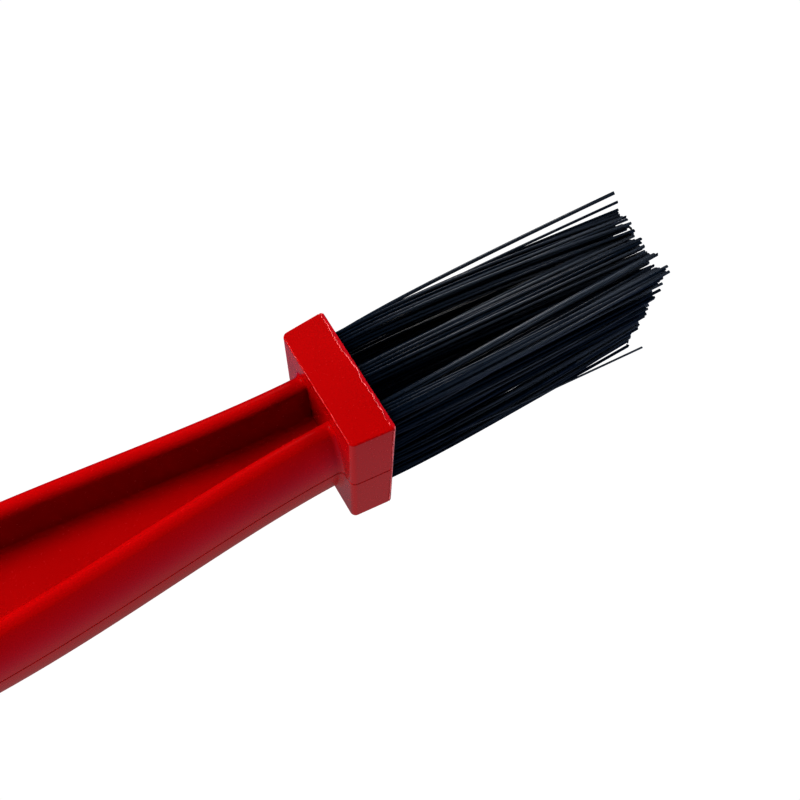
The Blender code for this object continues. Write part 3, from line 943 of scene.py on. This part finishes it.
def red_plastic():
    """Glossy moulded plastic, faintly cloudy; the front plate is painted pinker as a sheen, and its upright
    edges carry a painted pale reflection.
    """
    nodes = Nodes("red_plastic_fine")
    place = nodes.place()
    parts = nodes.add("ShaderNodeSeparateXYZ")
    nodes.join(place, parts.inputs["Vector"])
    x = parts.outputs["X"]
    cloud = nodes.noise(place, CLOUD_NOISE)
    grain = nodes.noise(place, GRAIN_NOISE)
    tone = nodes.mix(nodes.spread(cloud, *NOISE_RANGE, 0.0, 1.0), RED_DARK, RED_LIGHT)
    # Painted sheen: the front plate is coloured pinker in place of the sheen it catches
    seam_x = HEAD_FRONT_X - PLATE_THICKNESS
    plate = nodes.spread(x, seam_x - PLATE_BLEND, seam_x + PLATE_BLEND, 0.0, 1.0)
    tone = nodes.mix(plate, tone, RED_PLATE_SHEEN)
    # Painted reflection: the upright front edges of the block are paled where they mirror the bright
    # surroundings
    front = nodes.spread(x, HEAD_FRONT_X - PAINTED_SHEEN_FRONT_START, HEAD_FRONT_X - PAINTED_SHEEN_FRONT_END, 0.0, 1.0)
    side = nodes.calculate("ABSOLUTE", parts.outputs["Y"])
    painted_sheen_sides = nodes.spread(side, HEAD_HALF_WIDTH - PAINTED_SHEEN_SIDE_START, HEAD_HALF_WIDTH - PAINTED_SHEEN_SIDE_END, 0.0,
                         PAINTED_SHEEN_SHARE)
    nodes.give("Base Color", nodes.mix(nodes.calculate("MULTIPLY", front, painted_sheen_sides), tone, RED_PAINTED_SHEEN))
    nodes.give("Roughness", nodes.spread(grain, *NOISE_RANGE, *RED_ROUGHNESS))
    nodes.give("IOR", RED_IOR)
    nodes.give("Normal", nodes.bump(nodes.noise(place, DIMPLE_NOISE), *DIMPLE_BUMP))
    return nodes.material


def highlight_flash():
    """Thin plastic, painted pale so that the ridges show as bright highlight lines."""
    nodes = Nodes("red_plastic_flash")
    nodes.give("Base Color", nodes.mix(nodes.noise(nodes.place(), FLASH_NOISE), FLASH_HIGHLIGHT_DARK, FLASH_HIGHLIGHT_LIGHT))
    nodes.give("Roughness", FLASH_ROUGHNESS)
    nodes.give("IOR", RED_IOR)
    return nodes.material


def black_nylon():
    """Drawn nylon: each filament has its own tone, mostly a deep blue black, with a thin bright sheen;
    painted shade darkens each towards its root.
    """
    nodes = Nodes("black_nylon_fine")
    own = nodes.add("ShaderNodeAttribute", attribute_name="tone").outputs["Fac"]
    share = nodes.calculate("POWER", own, NYLON_TONE_POWER)
    nodes.give("Base Color", nodes.mix(share, NYLON_DARK, NYLON_BRIGHT))
    nodes.give("Roughness", nodes.spread(own, 0.0, 1.0, *NYLON_ROUGHNESS))
    nodes.give("IOR", NYLON_IOR)
    nodes.give("Normal", nodes.bump(nodes.noise(nodes.place(), DRAWN_NOISE), *DRAWN_BUMP))
    return nodes.material


def staple_steel():
    """Flat drawn wire, finely mottled."""
    nodes = Nodes("staple_steel_fine")
    mottle = nodes.noise(nodes.place(), WIRE_NOISE)
    nodes.give("Base Color", nodes.mix(mottle, STEEL_DARK, STEEL_LIGHT))
    nodes.give("Metallic", 1.0)
    nodes.give("Roughness", nodes.spread(mottle, *NOISE_RANGE, *STEEL_ROUGHNESS))
    nodes.give("Normal", nodes.bump(mottle, *WIRE_BUMP))
    return nodes.material


# Stage

def make_camera():
    """The photograph's camera."""
    data = bpy.data.cameras.new("camera")
    data.lens = CAMERA_LENS
    data.sensor_width = CAMERA_SENSOR
    data.clip_start = CLIP_START
    camera = link("camera", data)
    turn = (CAMERA_TARGET - CAMERA_PLACE).to_track_quat("-Z", "Y").to_matrix().to_4x4()
    camera.matrix_world = Matrix.Translation(CAMERA_PLACE) @ turn @ Matrix.Rotation(CAMERA_ROLL, 4, "Z")
    bpy.context.scene.camera = camera


def area_light(name, direction, distance, size, power):
    """A soft square light that faces the middle of the block's back."""
    data = bpy.data.lights.new(name, "AREA")
    data.shape = "SQUARE"
    data.size = size
    data.energy = power
    light = link(name, data)
    aim = Vector((HEAD_FRONT_X - HEAD_THICKNESS, 0.0, MID_Z))
    towards = direction.normalized()
    turn = (-towards).to_track_quat("-Z", "Y").to_matrix().to_4x4()
    light.matrix_world = Matrix.Translation(aim + towards * distance) @ turn
    return light


def make_lights():
    """Soft lights for the plain colours, and two that show only as sheen and don't bounce on."""
    for name, bearing, height, distance, size, power, blue, serves in SOFT_LIGHTS:
        turn = math.radians(bearing)
        lift = math.radians(height)
        level = math.cos(lift)
        direction = Vector((level * math.cos(turn), level * math.sin(turn), math.sin(lift)))
        light = area_light(name, direction, distance, size, power)
        light.data.color = (1.0, (1.0 + blue) / 2, blue)
        light.visible_camera = False
        light.visible_diffuse = serves != "glossy"
        light.visible_glossy = serves != "diffuse"
        light.data.cycles.use_multiple_importance_sampling = serves != "diffuse"
        if serves == "glossy":
            light.data.cycles.max_bounces = 0


def glow_material():
    """An even white glow, for a floor that shows no shadow, as in a cut-out picture."""
    material = bpy.data.materials.new("stage_white")
    material.use_nodes = True
    shader = material.node_tree.nodes["Principled BSDF"]
    shader.inputs["Base Color"].default_value = BLACK
    shader.inputs["Specular IOR Level"].default_value = 0.0
    shader.inputs["Emission Color"].default_value = WHITE
    shader.inputs["Emission Strength"].default_value = STAGE_GLOW
    return material


def make_floor():
    """A plain pale floor and a pale dome behind it; neither lights the brush or shows in its sheen."""
    glow = glow_material()
    bm = bmesh.new()
    bmesh.ops.create_grid(bm, x_segments=1, y_segments=1, size=FLOOR_SIZE / 2)
    floor = link("floor", mesh_from(bm, "floor"))
    floor.location = (0.0, 0.0, -FLOOR_DROP)
    bm = bmesh.new()
    bmesh.ops.create_uvsphere(bm, u_segments=DOME_SEGMENTS, v_segments=DOME_RINGS, radius=DOME_RADIUS)
    dome = link("dome", mesh_from(bm, "dome"))
    for item in (floor, dome):
        item.data.materials.append(glow)
        item.visible_diffuse = False
        item.visible_glossy = False
        item.visible_shadow = False


def make_world():
    """What the surfaces mirror, dark above and paler straight below; it lights them a little too."""
    world = bpy.data.worlds.new("studio")
    bpy.context.scene.world = world
    world.use_nodes = True
    tree = world.node_tree
    background = tree.nodes["Background"]
    where = tree.nodes.new("ShaderNodeTexCoord")
    parts = tree.nodes.new("ShaderNodeSeparateXYZ")
    ramp = tree.nodes.new("ShaderNodeValToRGB")
    shift = tree.nodes.new("ShaderNodeMapRange")
    tree.links.new(where.outputs["Generated"], parts.inputs["Vector"])
    tree.links.new(parts.outputs["Z"], shift.inputs["Value"])
    shift.inputs["From Min"].default_value = -1.0
    shift.inputs["From Max"].default_value = 1.0
    tree.links.new(shift.outputs["Result"], ramp.inputs["Fac"])
    stops = ramp.color_ramp.elements
    while len(stops) < len(SURROUNDINGS):
        stops.new(1.0)
    for stop, (share, colour) in zip(stops, SURROUNDINGS):
        stop.position = share
        stop.color = (*colour, 1.0)
    tree.links.new(ramp.outputs["Color"], background.inputs["Color"])


def paint_staples(material):
    """The staples keep their own nodes and meshes, and get their steel."""
    for name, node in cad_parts.items():
        if "_staple_" in name:
            node.data.materials.clear()
            node.data.materials.append(material)


def main():
    """Sets the stage, then builds the handle, its flash and the tufts."""
    scene = bpy.context.scene
    scene.view_settings.view_transform = "Standard"
    scene.view_settings.gamma = VIEW_GAMMA
    make_camera()
    make_floor()
    make_world()
    make_lights()
    places = hole_places()
    make_handle(places, red_plastic())
    make_flash(highlight_flash())
    plug = plug_mesh()
    nylon = black_nylon()
    for name in sorted(places):
        make_tuft(name, places[name], plug, nylon)
    paint_staples(staple_steel())


main()
